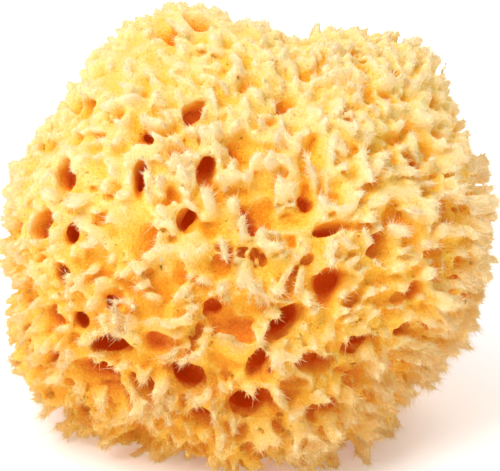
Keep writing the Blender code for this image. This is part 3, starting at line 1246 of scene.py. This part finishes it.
@dataclass(frozen=True)
class SpongeFinish:
    """Dry sponge fibre: cream tips, golden ridges, and orange to deep red in the canals, partly its own
    colour and partly painted shade.

    Args:
        name: the material's name.
        part: what it dresses.
        stops: the place of each colour on the way down, and the colour; the deeper colours are partly the
            fibre's own and partly painted shade.
        shallow: the depth of the first colour, in millimetres.
        deep: the depth of the last colour.
        cream_tip_highlight: the colour of the tips, partly their own paler colour and partly a painted
            highlight.
        painted_low_shade: the colour of the painted shade that is mixed in towards the foot.
        painted_shade_heights: the heights between which that painted shade starts, in metres.
        brown: the colour of the specks.
        painted_glow_tint: what the painted glow is tinted with.
        painted_canal_glow: the painted glow's colour in the canals.
        roughness: how rough the fibre is.
        painted_glow: how strong the painted glow is, which stands in for light that the fibre passes on.
    """

    name: str
    part: Part
    stops: tuple[tuple[float, Colour], ...] = (
        (0.0, (0.955, 0.770, 0.450)),
        (0.22, (0.950, 0.720, 0.300)),
        (0.42, (0.935, 0.560, 0.065)),
        (0.60, (0.890, 0.330, 0.003)),
        (0.78, (0.790, 0.140, 0.001)),
        (1.0, (0.660, 0.040, 0.001)),
    )
    shallow: float = -6.5
    deep: float = 10.5
    cream_tip_highlight: Colour = (0.965, 0.795, 0.560)
    painted_low_shade: Colour = (0.800, 0.430, 0.060)
    painted_shade_heights: tuple[float, float] = (0.005, 0.110)
    brown: Colour = (0.46, 0.17, 0.014)
    painted_glow_tint: Colour = (1.0, 0.60, 0.10)
    painted_canal_glow: Colour = (1.0, 0.10, 0.002)
    roughness: float = 0.9
    painted_glow: float = 0.12

    def number(self, tree: bpy.types.NodeTree, name: str) -> Socket:
        """A number that the mesh stores."""
        made = add_node(tree, "ShaderNodeAttribute", {"attribute_name": name}, {})
        return Socket(tree, made.outputs["Fac"])

    def noise(self, tree: bpy.types.NodeTree, place: Socket, scale: float, detail: float) -> Socket:
        """Noise around 0.5 on the object's own coordinates."""
        inputs = {"Vector": place, "Scale": scale, "Detail": detail}
        return Socket(tree, add_node(tree, "ShaderNodeTexNoise", {}, inputs).outputs["Fac"])

    def mixed(
        self,
        tree: bpy.types.NodeTree,
        share: Socket | float,
        first: Socket | Colour,
        second: Socket | Colour,
    ) -> Socket:
        """Two colours mixed by a share of the second."""
        node = tree.nodes.new("ShaderNodeMix")
        node.data_type = "RGBA"
        for index, value in ((0, share), (6, first), (7, second)):
            if isinstance(value, Socket):
                tree.links.new(value.socket, node.inputs[index])
            elif index == 0:
                node.inputs[index].default_value = value
            else:
                node.inputs[index].default_value = (*value, 1)
        return Socket(tree, node.outputs[2])

    def material(self) -> bpy.types.Material:
        """The finish as a material."""
        made = bpy.data.materials.new(self.name)
        made.use_nodes = True
        tree = made.node_tree
        shader = tree.nodes["Principled BSDF"]
        place = Socket(tree, add_node(tree, "ShaderNodeTexCoord", {}, {}).outputs["Object"])
        depth = self.number(tree, "depth")
        bulge = self.number(tree, "bulge")
        patches = self.noise(tree, place, 70, 3) - 0.5
        tight = self.number(tree, "tight")
        matted = 0.65 + self.number(tree, "wild") * 0.35
        grain = self.noise(tree, place, 1400, 2) - 0.5
        # Colour depth: the real depth, random patches and grain, and painted shade where a point is shut in.
        depth = (depth * 0.7 + patches * 3 + grain * 8 + (tight - 0.45) * 14) * matted
        # Painted shade: lower down the colour is deeper and more golden, with less cream.
        height = add_node(tree, "ShaderNodeSeparateXYZ", {}, {"Vector": place})
        shaded = 1 - Socket(tree, height.outputs["Z"]).step(*self.painted_shade_heights)
        depth = depth + shaded * 4.6 - 1.0
        share = (depth - self.shallow) * (1 / (self.deep - self.shallow))
        ramp = add_node(tree, "ShaderNodeValToRGB", {"stops": self.stops}, {"Fac": share})
        colour = Socket(tree, ramp.outputs["Color"])
        # What sticks out, and a fibre towards its tip, is mixed towards cream: partly the tips' own paler
        # colour and partly a painted highlight.
        out = 1 - bulge.step(0.20, 0.45)
        if self.part is Part.FIBRE:
            along = self.number(tree, "along")
            out = along * 0.55 + out * 0.35 + self.number(tree, "shade") * 0.12
        pale = 0.75 if self.part is Part.BODY else 0.55
        colour = self.mixed(tree, shaded * 0.48, colour, self.painted_low_shade)
        pale = (1 - shaded * 0.60) * pale
        colour = self.mixed(tree, out * pale * (1 - depth.step(-2, 4)), colour, self.cream_tip_highlight)
        if self.part is Part.BODY:
            specks = self.noise(tree, place, 800, 2).step(0.63, 0.71) * depth.step(-3, 0)
            specks = specks * self.noise(tree, place, 60, 2).step(0.46, 0.58)
            colour = self.mixed(tree, specks * 0.8, colour, self.brown)
            felt = self.noise(tree, place, 1600, 3) + self.noise(tree, place, 600, 2)
            lumps = {"Height": felt, "Strength": 0.8, "Distance": 0.0008}
            bump = add_node(tree, "ShaderNodeBump", {}, lumps)
            tree.links.new(bump.outputs["Normal"], shader.inputs["Normal"])
        tree.links.new(colour.socket, shader.inputs["Base Color"])
        # Painted glow: the fibre glows in its own colour tinted warm, and deep red in the canals, in place
        # of light passing through it and bouncing inside.
        painted_glow_colour = self.mixed(tree, 0.55, colour, self.painted_glow_tint)
        painted_glow_colour = self.mixed(tree, depth.step(5, 11), painted_glow_colour, self.painted_canal_glow)
        tree.links.new(painted_glow_colour.socket, shader.inputs["Emission Color"])
        shader.inputs["Emission Strength"].default_value = self.painted_glow
        shader.inputs["Roughness"].default_value = self.roughness
        shader.inputs["Specular IOR Level"].default_value = 0.15
        shader.inputs["Subsurface Weight"].default_value = 0.55 if self.part is Part.BODY else 0.0
        shader.inputs["Subsurface Scale"].default_value = 0.003
        shader.inputs["Subsurface Radius"].default_value = (1.0, 0.45, 0.12)
        return made


@dataclass(frozen=True)
class Lamp:
    """One soft studio lamp, aimed at the sponge."""

    name: str
    place: tuple[float, float, float]
    size: float
    watts: float


@dataclass
class Studio:
    """The pale floor with a painted shadow around the sponge, the soft light and the camera at the photo's
    view.

    Args:
        tilt: how far above the level the camera looks from.
        distance: how far the camera is from the sponge.
        filled: the share of the frame that the sponge fills.
        frame_shape: the frame's width over its height.
        stray_share: the share of points that may lie past each edge of what is framed.
        sensor: the camera's sensor width, in millimetres.
        floor_size: the floor's side.
        painted_shadow_span: the distances from the middle between which the floor's glow starts; nearer in,
            the floor glows less, a painted shadow around the sponge.
        floor_glow: how strong that glow is.
        lamps: the soft lamps.
        ambient: the even light all round.
    """

    tilt: float = radians(20)
    distance: float = 0.9
    filled: float = 0.985
    frame_shape: float = 500 / 471
    stray_share: float = 0.0003
    sensor: float = 36.0
    floor_size: float = 8.0
    painted_shadow_span: tuple[float, float] = (-0.06, 0.20)
    floor_glow: float = 0.70
    lamps: tuple[Lamp, ...] = (
        Lamp("key", (-0.50, -0.60, 1.05), 0.8, 14.6),
        Lamp("fill", (0.9, -0.7, 0.30), 0.8, 0.6),
        Lamp("back", (0.45, 0.95, 0.75), 0.8, 7.8),
    )
    ambient: float = 0.28

    def floor(self) -> bpy.types.Object:
        """A near-white floor that glows, less near the sponge: a painted shadow around it."""
        bpy.ops.object.select_all(action="DESELECT")
        bpy.ops.mesh.primitive_plane_add(size=self.floor_size)
        floor = bpy.context.object
        floor.name = "studio_floor"
        made = bpy.data.materials.new("studio_floor_painted_shadow")
        made.use_nodes = True
        tree = made.node_tree
        shader = tree.nodes["Principled BSDF"]
        shader.inputs["Base Color"].default_value = (0.9, 0.9, 0.9, 1)
        shader.inputs["Roughness"].default_value = 0.9
        shader.inputs["Specular IOR Level"].default_value = 0.0
        place = Socket(tree, add_node(tree, "ShaderNodeTexCoord", {}, {}).outputs["Object"])
        # Painted shadow: the floor's glow fades towards the middle, under the sponge.
        far = add_node(tree, "ShaderNodeVectorMath", {"operation": "LENGTH"}, {0: place})
        painted_glow = Socket(tree, far.outputs["Value"]).step(*self.painted_shadow_span)
        tree.links.new(painted_glow.socket, shader.inputs["Emission Color"])
        shader.inputs["Emission Strength"].default_value = self.floor_glow
        floor.data.materials.append(made)
        return floor

    def light(self) -> None:
        """The soft lamps and the even light all round."""
        target = Vector((0, 0, 0.06))
        for lamp in self.lamps:
            data = bpy.data.lights.new(lamp.name, "AREA")
            data.size = lamp.size
            data.energy = lamp.watts
            made = bpy.data.objects.new(lamp.name, data)
            made.location = lamp.place
            made.rotation_euler = (target - made.location).to_track_quat("-Z", "Y").to_euler()
            bpy.context.scene.collection.objects.link(made)
        world = bpy.data.worlds.new("studio_light")
        world.use_nodes = True
        background = world.node_tree.nodes["Background"]
        background.inputs["Color"].default_value = (1, 1, 1, 1)
        background.inputs["Strength"].default_value = self.ambient
        bpy.context.scene.world = world

    def camera(self, skin: Skin, pieces: list[bpy.types.Object]) -> None:
        """The camera, aimed so that the pieces fill the frame as the sponge fills the photo's.

        Args:
            skin: the form, which knows the photo's view.
            pieces: what the photo shows.
        """
        points = np.concatenate([points_of(piece) for piece in pieces])
        across, up, _ = skin.to_view(points)
        ends = [self.stray_share, 1 - self.stray_share]
        left, right = np.quantile(across, ends)
        bottom, top = np.quantile(up, ends)
        data = bpy.data.cameras.new("camera")
        data.sensor_width = self.sensor
        shown = max(right - left, (top - bottom) * self.frame_shape) / self.filled
        data.lens = self.sensor * self.distance / shown
        data.clip_start = 0.01
        made = bpy.data.objects.new("camera", data)
        out = Vector((0, -cos(self.tilt), sin(self.tilt)))
        middle = Vector(skin.from_view((left + right) / 2, (bottom + top) / 2, 0.0))
        made.location = middle + out * self.distance
        made.rotation_euler = (-out).to_track_quat("-Z", "Y").to_euler()
        bpy.context.scene.collection.objects.link(made)
        bpy.context.scene.camera = made

    def build(self, skin: Skin, pieces: list[bpy.types.Object]) -> None:
        """Sets up the floor, the light and the camera for the pieces that the photo shows."""
        self.floor()
        self.light()
        self.camera(skin, pieces)
        bpy.context.scene.view_settings.view_transform = "Standard"


def main() -> None:
    """Builds the sponge and the studio, and says what was made."""
    logging.basicConfig(level=logging.INFO, format="%(relativeCreated)d ms %(message)s")
    skin = Skin()
    pores = PoreField(skin)
    LOG.info("%d main pores, %d fine pores", len(pores.main), len(pores.fine))
    body = SpongeBody(skin, pores).build()
    body.data.materials.append(SpongeFinish("sponge_skin", Part.BODY).material())
    coat = FibreCoat(skin, body).build()
    fibre = SpongeFinish("sponge_fibre_coat", Part.FIBRE).material()
    for piece in coat:
        piece.data.materials.append(fibre)
    for piece in (body, *coat):
        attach(piece, "root")
    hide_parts("sea_sponge")
    Studio().build(skin, [body, *coat])
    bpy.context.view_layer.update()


if __name__ == "__main__":
    main()
